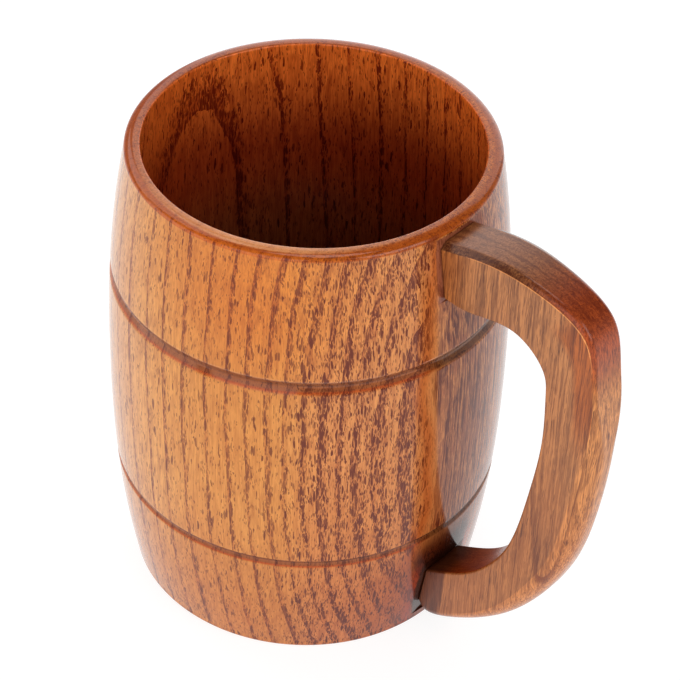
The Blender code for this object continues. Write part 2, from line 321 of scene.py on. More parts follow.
def corner_tint(tint, y, z, right):
    """Painted shade round the lower arm, a painted contact shadow: wide and faint, then dark, more above
    it than beside it.
    """
    beside = max(0.0, abs(y) - SEAT_WIDTH / 2.0)
    above = max(0.0, z - LOWER.high)
    wide = blend(CORNER_WIDE, CORNER_WIDE_RIGHT, right)
    tint = blend(tint, wide, corner_share(beside, above, *WIDE_REACH) * ease(*WIDE_SIDE, y))
    middle = blend(CORNER_BESIDE, CORNER_ABOVE, ease(*ABOVE_RUN, above))
    tint = blend(tint, middle, corner_share(beside, above, *MIDDLE_REACH))
    dark = blend(CORNER_DARK, CORNER_FOOT, ease(*CORNER_FOOT_HEIGHTS, z))
    return blend(tint, dark, corner_share(beside, above, *DARK_REACH))


def groove_tint(tint, z, right):
    """Painted shade in the grooves: dark on the upper facet, reddish along the lower edge at the front,
    darker round the handle.
    """
    for centre, width, deep in GROOVES:
        below = 2.0 * (centre - z) / width
        if abs(below) >= 1.0:
            continue
        facet = GROOVE_UPPER
        if below > 0.0:
            facet = blend(GROOVE_LOWER, GROOVE_EDGE, ease(*GROOVE_EDGE_RUN, below))
        facet = blend(facet, GROOVE_RIGHT, right)
        tint = blend(tint, facet, ease(0.0, GROOVE_FADE, groove(z) / deep))
    return tint


def side_tint(radius, angle, z):
    """Tint of the barrel's outside: its own tone, with a painted reflection on the left, towards the
    handle and just in front of it, and painted shade round the handle, at the foot, in the grooves and
    round the lower arm. The border of its right part wanders a little with the height.
    """
    degrees = math.degrees(angle)
    wave = sum(reach * math.sin(pace * z) for reach, pace in BORDER_WAVES)
    right = ease(*RIGHT_START, degrees + wave) * ease(*RIGHT_END, degrees)
    tint = blend(SIDE_FRONT, SIDE_MIDDLE, window(degrees, *MIDDLE_ARC))
    tint = blend(tint, SIDE_BAND, hump(degrees + wave, *BAND_ARC))
    tint = blend(tint, SIDE_RIGHT, right)
    tint = blend(tint, SIDE_LEFT, ease(*LEFT_ARC, degrees))
    tint = blend(tint, SIDE_TOP, hump(degrees, *TOP_ARC) * ease(*TOP_HEIGHTS, z))
    # Painted shade towards the foot.
    darkened = tuple(a * b for a, b in zip(tint, SIDE_FOOT))
    tint = blend(darkened, tint, ease(*FOOT_HEIGHTS, z))
    if abs(degrees) < CORNER_ARC:
        tint = corner_tint(tint, radius * math.sin(angle), z, right)
    return groove_tint(tint, z, right)


def body_tint(radius, angle, z, milled):
    """Tint of one point of the body, in the hollow, on a milled flat, on the rim or on the side: its own
    tone with painted light, shade and reflection.
    """
    down = MUG_HEIGHT - z
    if z > FLOOR_THICKNESS - FLOOR_MARGIN and radius < hollow(z) + WALL_MARGIN:
        # Painted light at the top of the hollow, painted shade deeper down.
        tint = blend(HOLLOW_TOP, HOLLOW_MIDDLE, ease(0.0, HOLLOW_MIDDLE_DEPTH, down))
        return blend(tint, HOLLOW_LOW, ease(HOLLOW_MIDDLE_DEPTH, HOLLOW_LOW_DEPTH, down))
    if milled:
        # Painted shade on the milled flats.
        return UPPER_FLAT if z > MUG_HEIGHT / 2.0 else LOWER_FLAT
    if down < RIM_ROUND:
        return rim_tint(radius, math.degrees(angle))
    return side_tint(radius, angle, z)


def outside_heights():
    """Heights of the rows up the outside: closer together at the grooves and the seats' ends."""
    heights = set(np.round(np.linspace(BASE_ROUND, MUG_HEIGHT - RIM_ROUND, SIDE_ROWS), 6))
    for centre, width, _ in GROOVES:
        reach = width / 2.0 + GROOVE_MARGIN
        heights |= set(np.round(np.linspace(centre - reach, centre + reach, GROOVE_ROWS), 6))
    for seat in (UPPER, LOWER):
        for edge in (seat.cut_low, seat.cut_high):
            heights |= {round(edge - CUT_STEP, 6), round(edge + CUT_STEP, 6)}
    return sorted(heights)


def quarter(steps):
    """Angles of a quarter turn, without its start."""
    return [math.pi / 2.0 * step / steps for step in range(1, steps + 1)]


def body_profile():
    """Radius and height of each row, from the middle of the base to the middle of the floor inside.

    The third value says whether the row lies on the barrel's side, where the seats are milled.
    """
    rows = [(0.0, 0.0, False)]
    base_r = barrel(BASE_ROUND) - BASE_ROUND
    for share in np.linspace(FIRST_RING, 1.0, DISC_RINGS):
        rows.append((base_r * share, 0.0, False))
    for angle in quarter(BASE_STEPS)[:-1]:
        rows.append((base_r + BASE_ROUND * math.sin(angle), BASE_ROUND * (1.0 - math.cos(angle)), False))
    for height in outside_heights():
        rows.append((barrel(height) - groove(height), height, True))
    top_z = MUG_HEIGHT - RIM_ROUND
    top_r = barrel(top_z) - CROWN
    for angle in quarter(RIM_STEPS):
        out, up = math.cos(angle) ** (2.0 / CROWN_POWER), math.sin(angle) ** (2.0 / CROWN_POWER)
        rows.append((top_r + CROWN * out, top_z + RIM_ROUND * up, False))
    lip_z = MUG_HEIGHT - LIP_ROUND
    lip_run = top_r - hollow(lip_z)
    for angle in quarter(RIM_STEPS):
        into, up = math.sin(angle) ** (2.0 / LIP_POWER), math.cos(angle) ** (2.0 / LIP_POWER)
        rows.append((top_r - lip_run * into, lip_z + LIP_ROUND * up, False))
    fillet_z = FLOOR_THICKNESS + FLOOR_FILLET
    for height in np.linspace(lip_z, fillet_z, HOLLOW_ROWS)[1:]:
        rows.append((hollow(height), height, False))
    fillet_r = hollow(fillet_z) - FLOOR_FILLET
    for angle in quarter(FILLET_STEPS):
        across, down = FLOOR_FILLET * math.cos(angle), FLOOR_FILLET * math.sin(angle)
        rows.append((fillet_r + across, fillet_z - down, False))
    for share in np.linspace(1.0, FIRST_RING, DISC_RINGS)[1:]:
        rows.append((fillet_r * share, FLOOR_THICKNESS, False))
    rows.append((0.0, FLOOR_THICKNESS, False))
    return rows


def build_body(material):
    """Turned cup. Columns stand closer together at the handle, where the seats are milled flat."""
    near = np.radians(np.arange(-SEAT_ARC, SEAT_ARC, SEAT_COLUMN))
    far = np.radians(np.linspace(SEAT_ARC, 360.0 - SEAT_ARC, FAR_COLUMNS + 1)[:-1])
    angles = np.concatenate((near, far))
    count = len(angles)
    points, tints, rings = [], [], []
    for radius, height, side in body_profile():
        if radius == 0.0:
            rings.append([len(points)])
            points.append((0.0, 0.0, height))
            tints.append(body_tint(0.0, 0.0, height, False))
            continue
        rings.append(list(range(len(points), len(points) + count)))
        for angle in angles:
            x, y = radius * math.cos(angle), radius * math.sin(angle)
            milled = False
            for seat in (UPPER, LOWER):
                if side and seat.cut_low <= height <= seat.cut_high and x > seat.at(height):
                    x, milled = seat.at(height), True
            points.append((x, y, height))
            tints.append(body_tint(radius, math.remainder(angle, 2.0 * math.pi), height, milled))
    faces = []
    for low, high in zip(rings, rings[1:]):
        for step in range(count):
            follow = (step + 1) % count
            if len(low) == 1:
                faces.append((low[0], high[follow], high[step]))
            elif len(high) == 1:
                faces.append((low[step], low[follow], high[0]))
            else:
                faces.append((low[step], low[follow], high[follow], high[step]))
    return mesh_object("body_shell", points, faces, material, tints)


def smooth(rows, knots, count):
    """Natural cubic curve through the rows at their knots."""
    step = np.diff(knots)
    slope = np.diff(rows, axis=0) / step[:, None]
    matrix = np.eye(len(knots))
    right = np.zeros_like(rows)
    for i in range(1, len(knots) - 1):
        matrix[i, i - 1:i + 2] = (step[i - 1], 2.0 * (step[i - 1] + step[i]), step[i])
        right[i] = 6.0 * (slope[i] - slope[i - 1])
    bend = np.linalg.solve(matrix, right)
    samples = []
    for place in np.linspace(knots[0], knots[-1], count):
        i = min(int(np.searchsorted(knots, place, side="right")) - 1, len(step) - 1)
        t = (place - knots[i]) / step[i]
        s = 1.0 - t
        pull = (s ** 3 - s) * bend[i] + (t ** 3 - t) * bend[i + 1]
        samples.append(s * rows[i] + t * rows[i + 1] + pull * step[i] ** 2 / 6.0)
    return np.array(samples)


def template_rows(side, reach, low, high, upper_end, lower_end):
    """Points of one edge of the handle, from its end on the upper seat to its end on the lower one."""
    rows = [(UPPER.at(upper_end) + FIT_GAP, upper_end)]
    for place, row in enumerate(TEMPLATE):
        start = (UPPER if 2 * place < len(TEMPLATE) else LOWER).foot + FIT_GAP
        across, up = row[side]
        rows.append((start + across * (reach - start), low + up * (high - low)))
    rows.append((LOWER.at(lower_end) + FIT_GAP, lower_end))
    return np.array(rows)


def handle_rails():
    """Outer and inner edge of the handle, each as evenly counted points."""
    top = MUG_HEIGHT - ARM_DROP
    reach = BELLY_RADIUS + FINGER_GAP
    gap_low, gap_high = BASE_CLEARANCE + LOWER_ARM_HEIGHT, top - UPPER_ARM_HEIGHT
    outer = template_rows(0, reach + GRIP_DEPTH, BASE_CLEARANCE, top, UPPER.high, LOWER.low)
    inner = template_rows(1, reach, gap_low, gap_high, UPPER.low, LOWER.high)
    chords = np.linalg.norm(np.diff(0.5 * (outer + inner), axis=0), axis=1)
    knots = np.concatenate(([0.0], np.cumsum(np.sqrt(chords))))
    return smooth(outer, knots, STATIONS), smooth(inner, knots, STATIONS)


def softened(rows, radius):
    """The row of corner points with each inner corner turned into a short curve."""
    rows = np.array(rows)
    made = [rows[0]]
    for before, corner, after in zip(rows, rows[1:], rows[2:]):
        back, on = before - corner, after - corner
        run_back, run_on = np.linalg.norm(back), np.linalg.norm(on)
        cut_back = back * min(radius, CORNER_LIMIT * run_back) / max(run_back, LEAST_RUN)
        cut_on = on * min(radius, CORNER_LIMIT * run_on) / max(run_on, LEAST_RUN)
        for step in range(CORNER_STEPS + 1):
            t = step / CORNER_STEPS
            made.append(corner + cut_back * (1.0 - t) ** 2 + cut_on * t ** 2)
    made.append(rows[-1])
    return made


def handle_section(share, depth):
    """Half of the handle's section: distance from the finger side and from the middle plane."""
    width = SEAT_WIDTH + (GRIP_WIDTH - SEAT_WIDTH) * ease(*TAPER_RUN, share)
    half = (width + (LOWER_WIDTH - GRIP_WIDTH) * ease(*SPREAD_RUN, share)) / 2.0
    rounding = ease(*ROUNDING_RUN, share)
    worn = CHAMFER_WEAR * ease(*WORN_RUN, share)
    radius = GRIP_ROUND + (LOWER_ROUND - GRIP_ROUND) * ease(*LOWER_ROUND_RUN, share)
    flat = blend(CHAMFER, BEND_CHAMFER, ease(*NARROW_RUN, share))
    across, down = blend(flat, (radius, radius), rounding)
    rows = [(0.0, 0.0), (0.0, half - FINGER_EASE), (FINGER_EASE, half)]
    rows += [(side_share * (depth - down), half) for side_share in SIDE_SHARES]
    for step in range(ROUND_STEPS + 1):
        turn = step / ROUND_STEPS
        angle = turn * math.pi / 2.0
        line = (depth - down * (1.0 - turn), half - across * turn)
        arc = (depth - down * (1.0 - math.sin(angle)), half - across * (1.0 - math.cos(angle)))
        rows.append(blend(line, arc, max(rounding, worn * turn)))
    rows.append((depth, 0.0))
    return softened(rows, BROKEN_CORNER)


# Tints of the handle, as on the body: its own tone with painted shade, painted light and a painted
# highlight
ARM_ROOT = (0.92, 0.74, 0.54, 1.0)
HANDLE_SIDE = (0.94, 0.90, 0.88, 1.0)
OUTER_BEND = (0.82, 0.50, 0.22, 1.0)
# Painted shade on the lower arm's finger side, under the grip.
FINGER_LOW = (1.0, 0.50, 0.27, 1.0)
# Painted shade on the chamfer near the upper arm, with stronger figure.
CHAMFER_CUT = (0.62, 0.57, 0.58, 1.7)
ARM_TOP = (0.86, 0.80, 0.82, 1.0)
BEND_TOP = (0.85, 0.37, 0.19, 1.0)
# Painted light on the grip's back and rounded edges.
GRIP_BACK = (1.25, 1.20, 1.10, 1.0)
# Painted highlight along the corner between the side and the chamfer.
EDGE_HIGHLIGHT = (1.7, 1.7, 1.6, 0.5)
LOWER_END = (0.36, 0.26, 0.29, 1.0)

# Where they lie, as shares of the handle's length from the upper arm and of its depth from the finger side
ROOT_RUN = (0.0, 0.06)
OUTER_DEPTH = (0.50, 0.66)
OUTER_BEND_RUN = (0.19, 0.23, 0.34, 0.46)
FINGER_LOW_RUN = (0.70, 0.86)
BACK_DEPTH = 0.4
CUT_RUN = (0.26, 0.16)
BEND_TOP_RUN = (0.10, 0.20, 0.26, 0.32)
GRIP_RUN = (0.29, 0.35, 0.90, 0.97)
EDGE_HIGHLIGHT_RUN = (0.02, 0.05, 0.24, 0.30)
FINGER_END_RUN = (0.920, 0.980)
SIDE_END_RUN = (0.953, 0.960)

# Distances that tell the handle's faces apart, in metres
ON_FACE = 0.0001
OFF_SIDE = 0.00002
EDGE_WIDTH = 0.00016


def handle_tint(share, deep, depth, inset):
    """Tint of the handle at a depth from the finger side and an inset from the flat side: its own tone,
    painted shade on the chamfer and the lower finger side, painted light on the grip's back, a painted
    highlight along the chamfer's lower edge.
    """
    tint = blend(ARM_ROOT, HANDLE_SIDE, ease(*ROOT_RUN, share))
    tint = blend(tint, OUTER_BEND, ease(*OUTER_DEPTH, deep / depth) * window(share, *OUTER_BEND_RUN))
    on_finger_side = deep < ON_FACE
    if on_finger_side:
        # Painted shade on the lower arm's finger side, under the grip.
        tint = blend(tint, FINGER_LOW, ease(*FINGER_LOW_RUN, share))
    if inset > OFF_SIDE and deep > BACK_DEPTH * depth:
        # Painted shade on the chamfer near the upper arm.
        back = CHAMFER_CUT if deep < depth - ON_FACE else ARM_TOP
        tint = blend(tint, back, ease(*CUT_RUN, share))
        tint = blend(tint, BEND_TOP, window(share, *BEND_TOP_RUN))
        # Painted light on the grip's back and rounded edges.
        tint = blend(tint, GRIP_BACK, window(share, *GRIP_RUN))
        # Painted highlight along the corner between the side and the chamfer.
        if inset < EDGE_WIDTH:
            tint = blend(tint, EDGE_HIGHLIGHT, window(share, *EDGE_HIGHLIGHT_RUN))
    end_run = FINGER_END_RUN if on_finger_side else SIDE_END_RUN
    return blend(tint, LOWER_END, ease(*end_run, share))


def build_handle(material):
    """Loft between the template's two edges, with the sharp corners just broken."""
    outer, inner = handle_rails()
    steps = np.linalg.norm(np.diff(0.5 * (outer + inner), axis=0), axis=1)
    lengths = np.concatenate(([0.0], np.cumsum(steps)))
    points, tints = [], []
    for station in range(STATIONS):
        span = outer[station] - inner[station]
        depth = float(np.linalg.norm(span))
        share = lengths[station] / lengths[-1]
        rows = handle_section(share, depth)
        loop = [(deep, -half) for deep, half in rows] + [(deep, half) for deep, half in rows[-2:0:-1]]
        widest = max(half for _, half in rows)
        for deep, side in loop:
            x, z = inner[station] + span / depth * deep
            points.append((x, side, z))
            tints.append(handle_tint(share, deep, depth, widest - abs(side)))
    size = len(points) // STATIONS
    faces = [tuple(range(size)), tuple(reversed(range((STATIONS - 1) * size, STATIONS * size)))]
    for station in range(STATIONS - 1):
        low, high = station * size, (station + 1) * size
        for step in range(size):
            follow = (step + 1) % size
            faces.append((low + step, high + step, high + follow, low + follow))
    return mesh_object("handle_shell", points, faces, material, tints)


class Nodes:
    """Short names for building one material's node tree."""

    def __init__(self, name):
        self.material = bpy.data.materials.new(name)
        self.material.use_nodes = True
        self.tree = self.material.node_tree
        self.shader = self.tree.nodes["Principled BSDF"]

    def put(self, socket, value):
        if isinstance(value, bpy.types.NodeSocket):
            self.tree.links.new(value, socket)
        else:
            socket.default_value = value

    def add(self, kind, *values, **settings):
        node = self.tree.nodes.new(kind)
        for name, value in settings.items():
            setattr(node, name, value)
        for socket, value in zip(node.inputs, values):
            self.put(socket, value)
        return node

    def math(self, operation, *values, clamp=False):
        return self.add("ShaderNodeMath", *values, operation=operation, use_clamp=clamp).outputs[0]

    def times(self, first, *others, clamp=False):
        for other in others:
            first = self.math("MULTIPLY", first, other, clamp=clamp)
        return first

    def total(self, first, *others):
        for other in others:
            first = self.math("ADD", first, other)
        return first

    def vector(self, operation, *values):
        return self.add("ShaderNodeVectorMath", *values, operation=operation).outputs[0]

    def length(self, vector):
        return self.add("ShaderNodeVectorMath", vector, operation="LENGTH").outputs["Value"]

    def parts(self, vector):
        return self.add("ShaderNodeSeparateXYZ", vector).outputs[:3]

    def noise(self, place, scale, detail=2.0, roughness=0.5):
        """Value and colour of solid noise or, if scale is one number, of noise along a line."""
        line = isinstance(scale, float)
        node = self.add("ShaderNodeTexNoise", noise_dimensions="1D" if line else "3D")
        scaled = self.times(place, scale) if line else self.vector("MULTIPLY", place, scale)
        self.put(node.inputs["W" if line else "Vector"], scaled)
        node.inputs["Scale"].default_value = 1.0
        node.inputs["Detail"].default_value = detail
        node.inputs["Roughness"].default_value = roughness
        return node.outputs["Fac"], node.outputs["Color"]

    def swing(self, place, scale, roughness, reach):
        """Noise that goes to both sides of zero."""
        return self.times(self.math("SUBTRACT", self.noise(place, scale, 2.0, roughness)[0], 0.5), reach)

    def shift(self, place, scale, detail, reach):
        """Vector of noise that goes to both sides of zero."""
        colour = self.noise(place, scale, detail)[1]
        return self.vector("MULTIPLY", self.vector("SUBTRACT", colour, (0.5, 0.5, 0.5)), reach)

    def cells(self, vector):
        node = self.add("ShaderNodeTexVoronoi", voronoi_dimensions="3D", feature="F1")
        self.put(node.inputs["Vector"], vector)
        node.inputs["Scale"].default_value = 1.0
        return node.outputs["Distance"], node.outputs["Color"]

    def fit(self, value, low, high, start=0.0, end=1.0, kind="SMOOTHSTEP"):
        node = self.add("ShaderNodeMapRange", value, low, high, start, end, interpolation_type=kind)
        return node.outputs[0]

    def mix(self, share, first, second, blend="MIX"):
        node = self.add("ShaderNodeMix", data_type="RGBA", blend_type=blend)
        for socket, value in ((node.inputs[0], share), (node.inputs[6], first), (node.inputs[7], second)):
            self.put(socket, (*value, 1.0) if isinstance(value, tuple) else value)
        return node.outputs[2]


# Grain of the wood's patterns, in lumps per millimetre along X, Y and Z
SWAY_GRAIN = (1 / 30, 1 / 30, 1 / 90)
RIPPLE_GRAIN = (1 / 5, 1 / 5, 1 / 30)
RAGGED_GRAIN = (1.1, 1.1, 0.30)
PATCH_GRAIN = (0.16, 0.16, 0.025)
DRIFT_GRAIN = (0.12, 0.12, 0.02)
SHAKE_GRAIN = (0.9, 0.9, 0.22)
CHAIN_GRAIN = (0.75, 0.75, 0.03)
FIBRE_GRAIN = (1.8, 1.8, 0.040)
HAIR_GRAIN = 3.4
LINE_GRAIN = (2.2, 2.2, 0.05)
MOTTLE_GRAIN = (0.75, 0.75, 0.16)
RAY_GRAIN = (0.06, 0.9, 0.1)
CLOUD_GRAIN = (0.030, 0.030, 0.012)

# Lumps per growth layer in the layers' uneven thickness
UNEVEN_GRAIN = 0.9

# Millimetres per metre along X, Y and Z
MILLIMETRES = (1000.0, 1000.0, 1000.0)

# Places in the wood and reaches, in millimetres
OUTER_LAYER = 46.0
DRIFT_REACH = (2.4, 2.4, 0.0)
SHAKE_REACH = (0.6, 0.6, 3.0)
FLAME_BOWL = 1.2
FLAME_FADE = (66.0, 82.0)
CORE_SIDE = (75.0, 80.0)
CORE_TOP = (46.0, 66.0)
KNOT_RADII = (1.4, 0.5, 1.3)

# Where a pattern starts and where it is full and, if two more values follow, what it gives there.
# Facing is how much a surface looks up or down, so that it cuts across the grain.
RING_RANGE = (0.3, 1.7)
PATCH_RANGE = (0.32, 0.62, 0.45, 1.0)
RING_FACING = (0.6, 0.95)
DENSE_RANGE = (0.55, 0.85)
CHAIN_RANGE = (0.36, 0.62)
DASH_RANGE = (-0.05, 0.15)
BORE_RANGE = (0.65, 1.2)
LINE_RANGE = (0.45, 0.59)
PORE_FACING = (0.3, 1.0, 1.0, 0.6)
MOTTLE_RANGE = (0.42, 0.72)
RAY_RANGE = (0.42, 0.66)
RAY_FACING = (0.5, 0.9)
CORE_RANGE = (0.74, 0.97)
CORE_FIBRE_RANGE = (0.38, 0.58, 0.35, 1.0)
STREAK_RANGE = (0.38, 0.72)
HAIR_RANGE = (0.42, 0.76)
CLOUD_RANGE = (0.35, 0.70)
DRUNK_FACING = (0.2, 0.95)
KNOT_RANGE = (0.5, 1.1, 0.85, 0.0)

# Shares in the figure: ink of the faintest vessels, ink added in narrow layers, tone of the early wood
# there, vessels left among plain lines, raggedness of the knot
FAINT_INK = 0.6
DENSE_INK = 0.12
DENSE_TONE = 0.6
VESSELS_IN_LINES = 0.25
KNOT_RAGGED = 0.9

# The lacquer and the wood's surface
WOOD_IOR = 1.5
LACQUER_IOR = 1.38
PORE_ROUGHNESS = 0.16
HAIR_ROUGHNESS = 0.06
HAIR_HEIGHT = 0.15
BUMP_DEPTH = 0.00012
LEAST_STRENGTH = 0.5


def linear(red, green, blue):
    """Scene colour of an sRGB colour given as 0 to 255."""
    made = []
    for value in (red / 255.0, green / 255.0, blue / 255.0):
        made.append(value / 12.92 if value <= 0.04045 else ((value + 0.055) / 1.055) ** 2.4)
    return tuple(made)


def flame(n, x, y, z, middle, tip, spread, rise, slant):
    """Layer coordinate whose lines on a side face are nested flames with their tips at the bottom."""
    off = n.math("MAXIMUM", n.math("SUBTRACT", x, middle), -spread)
    beyond = n.math("MAXIMUM", n.math("SUBTRACT", off, spread), 0.0)
    inside = n.math("SUBTRACT", off, beyond)
    bowl = n.total(n.times(inside, inside), n.times(beyond, 2.0 * spread))
    bowl = n.math("SUBTRACT", n.math("DIVIDE", bowl, FLAME_BOWL), n.math("SUBTRACT", z, tip))
    return n.total(n.times(bowl, rise), n.times(y, slant))


def growth_layers(n, look, mm, facing):
    """Growth layers across the look's azimuth, closer together on its far side.

    Gives the place in the layer from 0 to 1, how far out the layer lies and the share of early wood.
    """
    x, y, z = n.parts(mm)
    turn = math.radians(look["azimuth"])
    along = n.total(n.times(x, math.cos(turn)), n.times(y, math.sin(turn)))
    beside = n.total(n.times(x, -math.sin(turn)), n.times(y, math.cos(turn)))
    if look["flame"]:
        along = flame(n, x, y, z, *look["flame"])
    across = n.total(
        along,
        n.times(z, look["tilt"]),
        n.times(beside, beside, look["curl"]),
        n.swing(mm, SWAY_GRAIN, 0.55, look["sway"]),
        n.swing(mm, RIPPLE_GRAIN, 0.55, look["ripple"]),
    )
    far = n.math("DIVIDE", n.math("MAXIMUM", across, 0.0), OUTER_LAYER)
    phase = n.total(
        n.math("DIVIDE", across, look["layer"]),
        n.times(n.math("POWER", far, 3.0), look["narrowing"]),
        look["shift"],
    )
    uneven, _ = n.noise(phase, UNEVEN_GRAIN, 1.0)
    share = n.math("FRACT", n.total(phase, n.times(uneven, look["uneven"])))
    closing = look["layer"] * look["narrowing"] * 3.0 / OUTER_LAYER
    squeeze = n.total(n.times(n.math("POWER", far, 2.0), closing), 1.0)
    grown = n.math("DIVIDE", n.times(share, look["layer"]), squeeze)
    grown = n.total(grown, n.swing(mm, RAGGED_GRAIN, 0.6, look["ragged"]))
    patch, _ = n.noise(mm, PATCH_GRAIN, 2.0, 0.55)
    early = n.times(
        n.fit(grown, *(look["ring"] * edge for edge in RING_RANGE), 1.0, 0.0),
        n.fit(patch, *PATCH_RANGE),
        n.fit(facing, *RING_FACING, 1.0, look["end_rings"]),
    )
    if look["flame"]:
        early = n.times(early, n.fit(z, *FLAME_FADE, 1.0, 0.0))
    return share, far, early


def vessels(n, look, wander, early, dense):
    """Long tubes along the grain that the surface cuts into dashes, more of them in the narrow layers."""
    chain, _ = n.noise(wander, CHAIN_GRAIN, 1.0)
    chain = n.fit(chain, *CHAIN_RANGE, look["chain"], 1.0)
    darker = n.total(1.0, n.times(dense, DENSE_INK))
    pore = 0.0
    for cell, stretch, bore, late_crowd, early_crowd, ink in look["vessels"]:
        gap, luck = n.cells(n.vector("DIVIDE", wander, (cell, cell, cell * stretch)))
        luck_there, luck_size, luck_ink = n.parts(luck)
        crowd = n.fit(early, 0.0, 1.0, late_crowd, early_crowd, "LINEAR")
        crowd = n.total(crowd, n.times(dense, late_crowd))
        there = n.math("LESS_THAN", luck_there, n.times(crowd, chain))
        radius = n.fit(luck_size, 0.0, 1.0, *(bore * size for size in BORE_RANGE), "LINEAR")
        dash = n.times(n.fit(n.math("SUBTRACT", radius, gap), *DASH_RANGE), there)
        dash = n.times(dash, n.fit(luck_ink, 0.0, 1.0, FAINT_INK * ink, ink, "LINEAR"))
        pore = n.math("MAXIMUM", pore, n.times(dash, darker, clamp=True))
    return pore


def open_figure(n, look, pore, wander, strength, facing):
    """Vessels as strong as the tint leaves them, or plain lines where its strength is below zero."""
    lines = n.fit(strength, SIDE_RIGHT[3], 0.0, 1.0, 0.0)
    strong = n.math("MAXIMUM", n.math("ABSOLUTE", strength), LEAST_STRENGTH)
    shown = n.times(strong, n.fit(lines, 0.0, 1.0, 1.0, VESSELS_IN_LINES))
    pore = n.times(n.times(pore, shown, clamp=True), n.fit(facing, *PORE_FACING))
    if look["lines"]:
        line, _ = n.noise(wander, LINE_GRAIN, 2.0, 0.6)
        pore = n.math("MAXIMUM", pore, n.times(n.fit(line, *LINE_RANGE, 0.0, look["lines"]), lines))
    return pore, strong


def ground_tone(n, look, mm, wander, fibre, fine, layers, dense, strong, facing):
    """Colour between the vessels: layers, mottle, rays, fibres, clouds, and stain drunk by end grain."""
    share, early = layers
    tone = n.mix(n.times(early, n.fit(dense, 0.0, 1.0, 1.0, DENSE_TONE)), look["late"], look["early"])
    mottle, _ = n.noise(wander, MOTTLE_GRAIN, 2.0, 0.6)
    tone = n.mix(n.times(n.fit(mottle, *MOTTLE_RANGE, 0.0, look["mottle"]), strong), tone, look["dark"])
    if look["rays"]:
        ray, _ = n.noise(wander, RAY_GRAIN, 3.0, 0.65)
        ray = n.times(n.fit(ray, *RAY_RANGE, 0.0, look["rays"]), n.fit(facing, *RAY_FACING))
        tone = n.mix(ray, tone, look["dark"])
    if look["flame"]:
        x, _, z = n.parts(mm)
        core = n.times(
            n.fit(share, *CORE_RANGE),
            n.fit(x, *CORE_SIDE, 1.0, 0.0),
            n.fit(z, *CORE_TOP, 1.0, 0.0),
            n.fit(fibre, *CORE_FIBRE_RANGE),
        )
        tone = n.mix(core, tone, look["pore"])
    tone = n.mix(n.times(n.fit(fibre, *STREAK_RANGE, 0.0, look["streak"]), strong), tone, look["dark"])
    tone = n.mix(n.times(n.fit(fine, *HAIR_RANGE, 0.0, look["hair"]), strong), tone, look["dark"])
    cloud, _ = n.noise(mm, CLOUD_GRAIN)
    tone = n.mix(n.fit(cloud, *CLOUD_RANGE, 0.0, look["cloud"]), tone, look["warm"])
    return n.mix(n.fit(facing, *DRUNK_FACING, 0.0, look["end"]), tone, look["drunk"])


def add_knot(n, look, colour, mm, fibre):
    away = n.length(n.vector("DIVIDE", n.vector("SUBTRACT", mm, look["knot"]), KNOT_RADII))
    away = n.total(away, n.times(n.math("SUBTRACT", fibre, 0.5), KNOT_RAGGED))
    return n.mix(n.fit(away, *KNOT_RANGE), colour, look["dark"])


def add_finish(n, look, colour, pore, fine):
    """Lacquer over slightly open vessels."""
    n.put(n.shader.inputs["Base Color"], colour)
    rough = n.total(look["rough"], n.times(pore, PORE_ROUGHNESS), n.times(fine, HAIR_ROUGHNESS))
    n.put(n.shader.inputs["Roughness"], rough)
    n.shader.inputs["IOR"].default_value = WOOD_IOR
    n.shader.inputs["Specular IOR Level"].default_value = look["gloss"]
    n.shader.inputs["Coat Weight"].default_value = look["coat"]
    n.shader.inputs["Coat Roughness"].default_value = look["coat_rough"]
    n.shader.inputs["Coat IOR"].default_value = LACQUER_IOR
    bump = n.add("ShaderNodeBump")
    bump.inputs["Strength"].default_value = look["bump"]
    bump.inputs["Distance"].default_value = BUMP_DEPTH
    n.put(bump.inputs["Height"], n.math("SUBTRACT", n.times(fine, HAIR_HEIGHT), pore))
    n.put(n.shader.inputs["Normal"], bump.outputs[0])


def wood(name, look):
    """Lacquered wood with the grain along Z: growth layers, open vessels and fibres, all in 3-D."""
    n = Nodes(name)
    coordinates = n.add("ShaderNodeTexCoord")
    facing = n.math("ABSOLUTE", n.parts(coordinates.outputs["Normal"])[2])
    mm = n.vector("MULTIPLY", coordinates.outputs["Object"], MILLIMETRES)
    wander = n.vector("ADD", mm, n.shift(mm, DRIFT_GRAIN, 1.0, DRIFT_REACH))
    wander = n.vector("ADD", wander, n.shift(mm, SHAKE_GRAIN, 2.0, SHAKE_REACH))
    fibre, _ = n.noise(wander, FIBRE_GRAIN, 2.0, 0.6)
    fine, _ = n.noise(wander, (HAIR_GRAIN, HAIR_GRAIN, look["hair_run"]), 2.0, 0.6)
    tint = n.add("ShaderNodeAttribute", attribute_name="tint")

    share, far, early = growth_layers(n, look, mm, facing)
    dense = n.fit(far, *DENSE_RANGE, 0.0, look["crowding"])
    pore = vessels(n, look, wander, early, dense)
    pore, strong = open_figure(n, look, pore, wander, tint.outputs["Alpha"], facing)
    tone = ground_tone(n, look, mm, wander, fibre, fine, (share, early), dense, strong, facing)
    colour = n.mix(pore, tone, look["pore"])
    if look["knot"]:
        colour = add_knot(n, look, colour, mm, fibre)
    # The tint multiplies in painted shade, painted light and painted reflection along with the wood's own
    # tone.
    colour = n.mix(1.0, colour, tint.outputs["Color"], "MULTIPLY")
    add_finish(n, look, colour, pore, fine)
    return n.material


